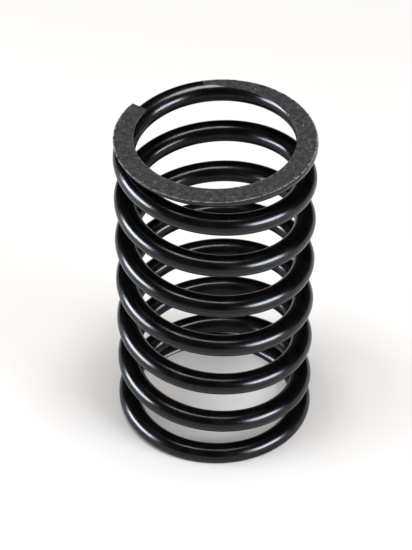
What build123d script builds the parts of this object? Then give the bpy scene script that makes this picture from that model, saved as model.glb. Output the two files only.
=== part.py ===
"""A small left-hand compression spring with closed and ground ends, in millimetres.

One round wire is coiled about +Z. Over the last part of each end the coil lies flatter, so that the
tip comes close to the coil next to it, and both ends are ground flat and square to the axis. The spring
stands on its lower ground end, with the origin on its axis at that face.
"""

from build123d import *
from math import cos, pi, radians, sin
import os

# Driving dimensions
wire_diameter = 3.0
mean_coil_diameter = 25.0
total_turns = 8.0
upper_tip_angle = 146.0  # azimuth of the upper tip about +Z, in degrees from +X
active_pitch = 7.25
closed_pitch = 2.25  # under the wire's thickness: the coil opens before it comes round to its tip
closed_turns = 0.7  # at each end
opening_turns = 0.25  # over which the pitch goes from closed to active
tip_thickness = wire_diameter / 4  # what grinding leaves of the wire at each tip
spline_points_each_turn = 24

# Worked out from these
wire_radius = wire_diameter / 2
coil_radius = mean_coil_diameter / 2
grind_past_centre = wire_radius - tip_thickness


def ramp_area(turns):
    """The area under a ramp that climbs from 0 to 1 over the opening turns and then stays at 1."""
    if turns <= 0:
        return 0.0
    if turns < opening_turns:
        return turns**2 / (2 * opening_turns)
    return turns - opening_turns / 2


def drop_at(turn):
    """How far the wire's centre has come down from the upper tip: the area under the pitch line."""
    opened = ramp_area(turn - closed_turns)
    closed_again = ramp_area(turn - (total_turns - closed_turns - opening_turns))
    return closed_pitch * turn + (active_pitch - closed_pitch) * (opened - closed_again)


free_length = drop_at(total_turns) - 2 * grind_past_centre
upper_tip_height = free_length + grind_past_centre


def centre_at(turn):
    """A point on the wire's centre line. The azimuth grows as the wire comes down: a left-hand coil."""
    azimuth = radians(upper_tip_angle) + 2 * pi * turn
    height = upper_tip_height - drop_at(turn)
    return Vector(coil_radius * cos(azimuth), coil_radius * sin(azimuth), height)


# The wire's centre line, from the upper tip to the lower one
station_count = round(total_turns * spline_points_each_turn)
stations = [centre_at(total_turns * i / station_count) for i in range(station_count + 1)]

with BuildPart() as spring:
    with BuildLine() as centre_line:
        Spline(*stations)
    with BuildSketch(Plane(origin=centre_line.line @ 0, z_dir=centre_line.line % 0)):
        Circle(wire_radius)
    sweep(path=centre_line.line, is_frenet=True)
    # Both ends are ground flat: what stands past each end plane is removed.
    split(bisect_by=Plane.XY.offset(free_length), keep=Keep.BOTTOM)
    split(bisect_by=Plane.XY, keep=Keep.TOP)

spring.part.label = "spring"

os.makedirs("parts", exist_ok=True)
export_step(spring.part, "parts/spring.step")
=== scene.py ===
import math

import bpy
import numpy as np
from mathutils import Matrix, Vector


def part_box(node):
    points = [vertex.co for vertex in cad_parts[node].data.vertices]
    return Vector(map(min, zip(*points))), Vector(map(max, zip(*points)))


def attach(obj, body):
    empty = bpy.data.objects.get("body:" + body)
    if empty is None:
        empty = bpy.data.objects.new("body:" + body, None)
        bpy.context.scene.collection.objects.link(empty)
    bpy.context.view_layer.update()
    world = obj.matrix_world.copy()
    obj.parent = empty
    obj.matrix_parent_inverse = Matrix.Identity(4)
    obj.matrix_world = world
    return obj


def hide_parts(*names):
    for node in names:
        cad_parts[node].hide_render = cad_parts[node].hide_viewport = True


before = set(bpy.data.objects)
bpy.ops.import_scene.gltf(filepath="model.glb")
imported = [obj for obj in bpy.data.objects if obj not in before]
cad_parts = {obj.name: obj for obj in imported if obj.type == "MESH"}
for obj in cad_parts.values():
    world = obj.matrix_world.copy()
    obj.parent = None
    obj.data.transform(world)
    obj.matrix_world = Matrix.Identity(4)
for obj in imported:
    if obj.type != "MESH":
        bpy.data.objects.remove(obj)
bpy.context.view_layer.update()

springLow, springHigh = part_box("spring")
freeLength = springHigh[2] - springLow[2]
print("frame loaded, free length", round(freeLength * 1000, 2), "mm")

millimetre = 0.001


def hexColour(code):
    # sRGB hex to the linear values that the shaders take
    parts = [int(code[i:i + 2], 16) / 255 for i in (1, 3, 5)]
    linear = [p / 12.92 if p <= 0.04045 else ((p + 0.055) / 1.055) ** 2.4 for p in parts]
    return (*linear, 1.0)


def addNode(tree, kind, settings=None, links=None):
    # settings go to the node's own properties or to its sockets, links to its sockets
    node = tree.nodes.new(kind)
    for key, value in (settings or {}).items():
        if isinstance(key, str) and hasattr(node, key):
            setattr(node, key, value)
        else:
            node.inputs[key].default_value = value
    for key, source in (links or {}).items():
        tree.links.new(source, node.inputs[key])
    return node


def startMaterial(name):
    material = bpy.data.materials.new(name)
    material.use_nodes = True
    material.node_tree.nodes.clear()
    return material, material.node_tree


def endMaterial(tree, shader):
    addNode(tree, "ShaderNodeOutputMaterial", None, {"Surface": shader.outputs["BSDF"]})


def addNoise(tree, vector, size, detail):
    # size in mm, on a vector in metres
    scale = 1 / (size * millimetre)
    noise = addNode(tree, "ShaderNodeTexNoise", {"Scale": scale, "Detail": detail}, {"Vector": vector})
    return noise.outputs["Fac"]


def fadeBetween(tree, source, span, result=(0.0, 1.0)):
    # the first result at the span's low end, the second at its high end, straight between, held outside
    fade = addNode(tree, "ShaderNodeMapRange",
                   {"From Min": span[0], "From Max": span[1], "To Min": result[0], "To Max": result[1]},
                   {"Value": source})
    return fade.outputs["Result"]


def mixColours(tree, amount, first, second):
    mix = addNode(tree, "ShaderNodeMix", {"data_type": "RGBA"})
    tree.links.new(amount, mix.inputs[0])
    for socket, colour in ((mix.inputs[6], first), (mix.inputs[7], second)):
        if isinstance(colour, str):
            socket.default_value = hexColour(colour)
        else:
            tree.links.new(colour, socket)
    return mix.outputs[2]


def addToScene(name, data):
    thing = bpy.data.objects.new(name, data)
    bpy.context.scene.collection.objects.link(thing)
    return thing


# Oil-tempered spring steel wire with black oxide and oil. The oxide is nearly black and the oil film makes
# it glossy, so it shows the lamps as narrow streaks and the pale floor as a dark grey band.
blackWire = {
    "oxide": "#050506",
    "oxideWarm": "#0f0b09",
    # a lighter line along the ground faces' edges, partly worn oxide and partly a painted highlight
    "wornEdgeAndGlint": "#222427",
    "patchSize": 2.5,            # mm, drifts in the depth of the oxide
    "warmPatches": (0.4, 0.7),   # pattern values between which the oxide turns warm
    "dullPatches": (0.3, 0.7),   # pattern values between which the gloss falls off
    "roughness": (0.20, 0.27),   # at the two ends of the dull patches
    "dieLineWidth": 0.25,        # mm, drawn coarser than the real lines, which are too fine to show
    "dieLineLength": 12.0,       # mm
    "speckSize": 0.35,           # mm, dust and pits in the oil film
    "speckRelief": 0.35,         # as a share of the die lines' relief
    "bumpDepth": 0.0015,         # mm
    "bumpStrength": 0.5,
    "refraction": 1.45,
}


def blackenedSpringWire(settings):
    material, tree = startMaterial("blackenedSpringWire")
    place = addNode(tree, "ShaderNodeTexCoord")
    along = addNode(tree, "ShaderNodeUVMap", {"uv_map": "alongWire"})
    # the UV map holds metres along the wire and round it
    lineScale = [1 / (settings[key] * millimetre) for key in ("dieLineLength", "dieLineWidth")]
    stretched = addNode(tree, "ShaderNodeMapping", {"Scale": (*lineScale, 1)},
                        {"Vector": along.outputs["UV"]})
    dieLines = addNode(tree, "ShaderNodeTexNoise", {"Scale": 1.0, "Detail": 2.0},
                       {"Vector": stretched.outputs["Vector"]})
    patches = addNoise(tree, place.outputs["Object"], settings["patchSize"], 4.0)
    specks = addNoise(tree, place.outputs["Object"], settings["speckSize"], 1.0)
    wearAndGlint = addNode(tree, "ShaderNodeAttribute", {"attribute_name": "edgeWearAndGlint"})

    warmth = fadeBetween(tree, patches, settings["warmPatches"])
    oxide = mixColours(tree, warmth, settings["oxide"], settings["oxideWarm"])
    # the lighter colour at the ground faces' edges is partly wear and partly a painted highlight
    colour = mixColours(tree, wearAndGlint.outputs["Fac"], oxide, settings["wornEdgeAndGlint"])
    roughness = fadeBetween(tree, patches, settings["dullPatches"], settings["roughness"])
    # the relief is the specks times their share, plus the die lines
    relief = addNode(tree, "ShaderNodeMath", {"operation": "MULTIPLY_ADD", 1: settings["speckRelief"]},
                     {0: specks, 2: dieLines.outputs["Fac"]})
    bump = addNode(tree, "ShaderNodeBump",
                   {"Strength": settings["bumpStrength"], "Distance": settings["bumpDepth"] * millimetre},
                   {"Height": relief.outputs["Value"]})
    shader = addNode(tree, "ShaderNodeBsdfPrincipled", {"IOR": settings["refraction"], "Metallic": 0.0},
                     {"Base Color": colour, "Roughness": roughness, "Normal": bump.outputs["Normal"]})
    endMaterial(tree, shader)
    return material


# The same steel ground square and then blackened: a matt, mottled grey-brown face with fine bright specks on
# its highest grains, and a pale line along its edges, partly worn steel and partly a painted highlight.
groundSteel = {
    "face": "#131211",
    "faceLight": "#332f2c",
    "speck": "#85807b",
    # the pale edge line, partly worn steel and partly a painted highlight
    "wornEdgeAndGlint": "#858a90",
    "mottleSize": 0.7,             # mm
    "lightMottles": (0.35, 0.7),   # pattern values between which the face turns light
    "gritSize": 0.22,              # mm, drawn coarser than the grit so that it shows
    "brightGrains": (0.66, 0.74),  # pattern values between which a grain turns bright
    "bumpDepth": 0.012,            # mm
    "bumpStrength": 0.6,
    "roughness": 0.65,
    "refraction": 1.5,
}


def groundEndFace(settings):
    material, tree = startMaterial("groundEndFace")
    place = addNode(tree, "ShaderNodeTexCoord")
    mottle = addNoise(tree, place.outputs["Object"], settings["mottleSize"], 5.0)
    grit = addNoise(tree, place.outputs["Object"], settings["gritSize"], 2.0)
    wearAndGlint = addNode(tree, "ShaderNodeAttribute", {"attribute_name": "edgeWearAndGlint"})

    lightness = fadeBetween(tree, mottle, settings["lightMottles"])
    face = mixColours(tree, lightness, settings["face"], settings["faceLight"])
    speckAmount = fadeBetween(tree, grit, settings["brightGrains"])
    speckled = mixColours(tree, speckAmount, face, settings["speck"])
    # the worn edge line with its painted highlight comes and goes with the mottling
    brokenWearAndGlint = addNode(tree, "ShaderNodeMath", {"operation": "MULTIPLY"},
                         {0: wearAndGlint.outputs["Fac"], 1: lightness})
    colour = mixColours(tree, brokenWearAndGlint.outputs["Value"], speckled, settings["wornEdgeAndGlint"])
    bump = addNode(tree, "ShaderNodeBump",
                   {"Strength": settings["bumpStrength"], "Distance": settings["bumpDepth"] * millimetre},
                   {"Height": grit})
    shader = addNode(tree, "ShaderNodeBsdfPrincipled",
                     {"Roughness": settings["roughness"], "IOR": settings["refraction"], "Metallic": 0.0},
                     {"Base Color": colour, "Normal": bump.outputs["Normal"]})
    endMaterial(tree, shader)
    return material


# Lengths in mm and angles in degrees. The first seven are the CAD source's own; the coil's diameter and its
# free length come from the frame's box.
coiledWire = {
    "wireDiameter": 3.0,
    "totalTurns": 8.0,
    "upperTipAngle": 146.0,
    "activePitch": 7.25,
    "closedPitch": 2.25,
    "closedTurns": 0.7,
    "openingTurns": 0.25,
    "wearAndGlintWidth": 0.05,  # over which the edge wear and painted highlight fall to about a third
    "innerWearAndGlint": 0.2,       # of the inner edge, as a share of the outer edge's
    "stationsPerTurn": 96,
    "flatPoints": 11,       # across a ground face
    "arcPoints": 40,        # round the rest of the section
    "seamHalfAngle": 6.0,   # of the chord's strip where the wire is still round
    "gatherAngle": 45.0,    # sets how closely the chord's points gather at its ends
    "steadyTurns": 2.0,     # at each end, where the section keeps facing that end
}


def rampArea(turns, opening):
    # zero before the ramp, turns squared over twice its length on it, and turns less half its length after
    climbing = np.clip(turns, 0, opening)
    return climbing ** 2 / (2 * opening) + np.maximum(turns - opening, 0)


def wireLine(settings, turns):
    # The drop is the closed pitch times the turns, plus the extra pitch times the first ramp's area less the
    # second's. The pitch is the closed one, plus the extra pitch times the first ramp's height less the
    # second's.
    closedPitch = settings["closedPitch"]
    extraPitch = settings["activePitch"] - closedPitch
    opening = settings["openingTurns"]
    closingStart = settings["totalTurns"] - settings["closedTurns"] - opening
    opened = rampArea(turns - settings["closedTurns"], opening)
    closedAgain = rampArea(turns - closingStart, opening)
    drop = closedPitch * turns + extraPitch * (opened - closedAgain)
    step = np.clip((turns - settings["closedTurns"]) / opening, 0, 1) - np.clip(
        (turns - closingStart) / opening, 0, 1)
    pitch = closedPitch + extraPitch * step
    return drop * millimetre, pitch * millimetre


def wireSurface(settings):
    # A point is the wire's centre at that turn, plus its place in the round section across the wire.
    # Near each end the section is a D: the part of the circle past the ground plane becomes a straight
    # chord on that plane. The chord's points sit on the side of the section that faces the nearer end.
    wireRadius = settings["wireDiameter"] / 2 * millimetre
    coilRadius = (springHigh[0] - springLow[0]) / 2 - wireRadius
    turnCount = settings["totalTurns"]
    stationCount = round(turnCount * settings["stationsPerTurn"]) + 1
    turns = np.linspace(0, turnCount, stationCount)[:, None]
    drop, pitch = wireLine(settings, turns)
    height = (freeLength + drop[-1, 0]) / 2 - drop + springLow[2]
    azimuth = math.radians(settings["upperTipAngle"]) + 2 * math.pi * turns
    lead = np.arctan2(pitch, 2 * math.pi * coilRadius)

    upperHalf = turns < turnCount / 2
    toPlane = np.where(upperHalf, springHigh[2] - height, height - springLow[2]) / np.cos(lead)
    seamAngle = math.radians(settings["seamHalfAngle"])
    halfAngle = np.maximum(np.arccos(np.clip(toPlane / wireRadius, -1, 1)), seamAngle)
    isGround = halfAngle > seamAngle

    # the chord's points: sideways is the half width times a sine that gathers them at its two ends
    spread = np.linspace(-1, 1, settings["flatPoints"])[None, :]
    gather = np.minimum(halfAngle, math.radians(settings["gatherAngle"]))
    flatSide = wireRadius * np.sin(halfAngle) * np.sin(gather * spread) / np.sin(gather)
    flatUp = np.minimum(np.sqrt(wireRadius ** 2 - flatSide ** 2), toPlane)
    # the arc's points: evenly round the rest of the circle
    share = np.arange(1, settings["arcPoints"] + 1)[None, :] / (settings["arcPoints"] + 1)
    arcAngle = halfAngle + (2 * math.pi - 2 * halfAngle) * share
    side = np.hstack([flatSide, wireRadius * np.sin(arcAngle)])
    up = np.hstack([flatUp, wireRadius * np.cos(arcAngle)])

    # The section's own up turns from straight up in the upper coils to straight down in the lower ones. The
    # half turn is shared out by blend squared times three less twice blend.
    steady = settings["steadyTurns"]
    blend = np.clip((turns - steady) / (turnCount - 2 * steady), 0, 1)
    facing = math.pi / 2 + math.pi * blend * blend * (3 - 2 * blend)
    outward = up * np.cos(facing) - side * np.sin(facing)
    across = up * np.sin(facing) + side * np.cos(facing)
    x = (coilRadius + outward) * np.cos(azimuth) - across * np.sin(lead) * np.sin(azimuth)
    y = (coilRadius + outward) * np.sin(azimuth) + across * np.sin(lead) * np.cos(azimuth)
    z = height + across * np.cos(lead)

    edgeDistance = np.hstack([
        wireRadius * np.sin(halfAngle) - np.abs(flatSide),
        wireRadius * np.minimum(arcAngle - halfAngle, 2 * math.pi - halfAngle - arcAngle),
    ])
    # the edge wear and painted highlight fall off exponentially from the edge, and the outer edge of each
    # ground face gets the most
    outerShare = np.where(outward > 0, 1.0, settings["innerWearAndGlint"])
    wearAndGlint = np.exp(-edgeDistance / (settings["wearAndGlintWidth"] * millimetre)) * isGround * outerShare

    # distances along the wire and round its section are the steps' lengths added up, in metres
    alongStep = np.hypot(2 * math.pi * coilRadius * np.diff(turns[:, 0]), np.diff(drop[:, 0]))
    along = np.append(0, np.cumsum(alongStep))
    closedSide = np.hstack([side, side[:, :1]])
    closedUp = np.hstack([up, up[:, :1]])
    roundStep = np.hypot(np.diff(closedSide, axis=1), np.diff(closedUp, axis=1))
    around = np.hstack([np.zeros((stationCount, 1)), np.cumsum(roundStep, axis=1)])
    return np.stack([x, y, z], -1), wearAndGlint, along, around, isGround[:, 0]


def makeCoiledWire(settings):
    points, wearAndGlint, along, around, isGround = wireSurface(settings)
    stations, ring = points.shape[:2]
    flats = settings["flatPoints"]
    station = np.arange(stations - 1)[:, None]
    column = np.arange(ring)[None, :]
    nextColumn = (column + 1) % ring
    a = station * ring + column
    b = station * ring + nextColumn
    # corners run so that the faces point outwards on this left-hand coil
    quads = np.stack([a, a + ring, b + ring, b], -1).reshape(-1, 4)
    firstEnd = column[0].tolist()
    lastEnd = ((stations - 1) * ring + column[0])[::-1].tolist()

    mesh = bpy.data.meshes.new("coiledWire")
    mesh.from_pydata(points.reshape(-1, 3), [], quads.tolist() + [firstEnd, lastEnd])

    # the ground faces are the chord's strips between two ground stations
    bothGround = (isGround[:-1] & isGround[1:])[:, None]
    onFlat = bothGround & (column < flats - 1)
    materialIndex = np.append(onFlat.reshape(-1), [False, False]).astype(np.int32)
    mesh.polygons.foreach_set("material_index", materialIndex)
    smooth = np.append(np.ones(len(quads), dtype=bool), [False, False])
    mesh.polygons.foreach_set("use_smooth", smooth)

    # sharp edges run along both sides of each ground face and round both cut tips
    ends = np.empty(len(mesh.edges) * 2, dtype=np.int32)
    mesh.edges.foreach_get("vertices", ends)
    ends = ends.reshape(-1, 2)
    endStation, endColumn = ends // ring, ends % ring
    corner = (endColumn[:, 0] == endColumn[:, 1]) & np.isin(endColumn[:, 0], (0, flats - 1))
    alongFlat = corner & isGround[endStation].all(axis=1)
    roundTip = (endStation[:, 0] == endStation[:, 1]) & np.isin(endStation[:, 0], (0, stations - 1))
    mesh.edges.foreach_set("use_edge_sharp", alongFlat | roundTip)

    # the UV map is metres along the wire and metres round it, in the quads' own corner order
    alongGrid = np.repeat(along[:, None], ring + 1, 1)
    uvGrid = np.stack([alongGrid, around], -1)
    quadUv = np.stack([uvGrid[:-1, :-1], uvGrid[1:, :-1], uvGrid[1:, 1:], uvGrid[:-1, 1:]], 2).reshape(-1, 2)
    tipUv = np.zeros((2 * ring, 2))
    uvMap = mesh.uv_layers.new(name="alongWire")
    uvMap.data.foreach_set("uv", np.vstack([quadUv, tipUv]).astype(np.float32).ravel())
    # the edge wear and painted highlight along the ground faces' edges, read by both materials
    edgeWearAndGlint = mesh.attributes.new("edgeWearAndGlint", "FLOAT", "POINT")
    edgeWearAndGlint.data.foreach_set("value", wearAndGlint.astype(np.float32).ravel())
    mesh.validate()
    mesh.update()

    piece = addToScene("coiledWire", mesh)
    mesh.materials.append(blackenedSpringWire(blackWire))
    mesh.materials.append(groundEndFace(groundSteel))
    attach(piece, "root")
    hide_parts("spring")
    print("coiled wire made,", len(mesh.polygons), "faces")


# A plain light grey tabletop, which the lamps bring up nearly to white; its size is in metres
tabletop = {"size": 3.0, "colour": "#b0ada8", "roughness": 0.9, "refraction": 1.3}


def makeFloor(settings):
    half = settings["size"] / 2
    mesh = bpy.data.meshes.new("floor")
    level = springLow[2]
    mesh.from_pydata(
        [(-half, -half, level), (half, -half, level), (half, half, level), (-half, half, level)],
        [], [(0, 1, 2, 3)])
    floor = addToScene("floor", mesh)
    material, tree = startMaterial("paleTabletop")
    shader = addNode(tree, "ShaderNodeBsdfPrincipled",
                     {"Base Color": hexColour(settings["colour"]), "Roughness": settings["roughness"],
                      "IOR": settings["refraction"]})
    endMaterial(tree, shader)
    mesh.materials.append(material)
    print("floor made")


# Places are in free lengths from the middle of the spring; sizes in metres, power in watts
lamps = {
    "leftPanel": {"place": (-8.5, -0.6, 1.5), "size": (0.30, 0.14), "power": 4.2, "colour": "#e8f0ff"},
    "rightPanel": {"place": (7.0, -4.2, 2.3), "size": (0.26, 0.14), "power": 3.4, "colour": "#e8f0ff"},
    "topPanel": {"place": (0.0, -0.4, 9.5), "size": (0.30, 0.20), "power": 3.2, "colour": "#fbfcff"},
}
# The pale room lights the tabletop evenly, but glossy rays see it nearly black, so the wire doesn't show it
surroundings = {"colour": "#fffaf4", "strength": 0.46, "inGloss": 0.005}
viewGamma = 0.87  # below one it deepens the dark tones and leaves white as it is


def aimAt(thing, place, target):
    # the thing's own -Z looks from place to target, with its Y as near up as it can be
    thing.location = place
    direction = thing.location - Vector(target)
    thing.rotation_euler = direction.to_track_quat("Z", "Y").to_euler()


def makeLight(middle):
    for name, lamp in lamps.items():
        light = bpy.data.lights.new(name, "AREA")
        light.shape = "RECTANGLE"
        light.size, light.size_y = lamp["size"]
        light.energy = lamp["power"]
        light.color = hexColour(lamp["colour"])[:3]
        holder = addToScene(name, light)
        aimAt(holder, [middle[i] + lamp["place"][i] * freeLength for i in range(3)], middle)
    world = bpy.data.worlds.new("studio")
    world.use_nodes = True
    tree = world.node_tree
    background = tree.nodes["Background"]
    background.inputs["Color"].default_value = hexColour(surroundings["colour"])
    rays = addNode(tree, "ShaderNodeLightPath")
    strength = fadeBetween(tree, rays.outputs["Is Glossy Ray"], (0.0, 1.0),
                           (surroundings["strength"], surroundings["inGloss"]))
    tree.links.new(strength, background.inputs["Strength"])
    bpy.context.scene.world = world
    # the Standard transform keeps the tabletop near white and the oxide near black
    bpy.context.scene.view_settings.view_transform = "Standard"
    bpy.context.scene.view_settings.gamma = viewGamma
    print("lamps made")


# Angles in degrees, lengths in mm
viewpoint = {
    "elevation": 40.75,
    "distance": 377.1,
    "lens": 174.56,
    "aside": -1.268,  # of the spring's middle, where the camera looks
    "below": 0.418,
    "nearClip": 10.0,
}


def makeCamera(middle, settings):
    target = middle.copy()
    target.x += settings["aside"] * millimetre
    target.z -= settings["below"] * millimetre
    elevation = math.radians(settings["elevation"])
    distance = settings["distance"] * millimetre
    place = [target.x, target.y - distance * math.cos(elevation), target.z + distance * math.sin(elevation)]
    lens = bpy.data.cameras.new("camera")
    lens.lens = settings["lens"]
    lens.clip_start = settings["nearClip"] * millimetre
    camera = addToScene("camera", lens)
    aimAt(camera, place, target)
    bpy.context.scene.camera = camera
    print("camera made")


springMiddle = Vector([(springLow[i] + springHigh[i]) / 2 for i in range(3)])
springMiddle.x = springMiddle.y = 0.0
makeCoiledWire(coiledWire)
makeFloor(tabletop)
makeLight(springMiddle)
makeCamera(springMiddle, viewpoint)
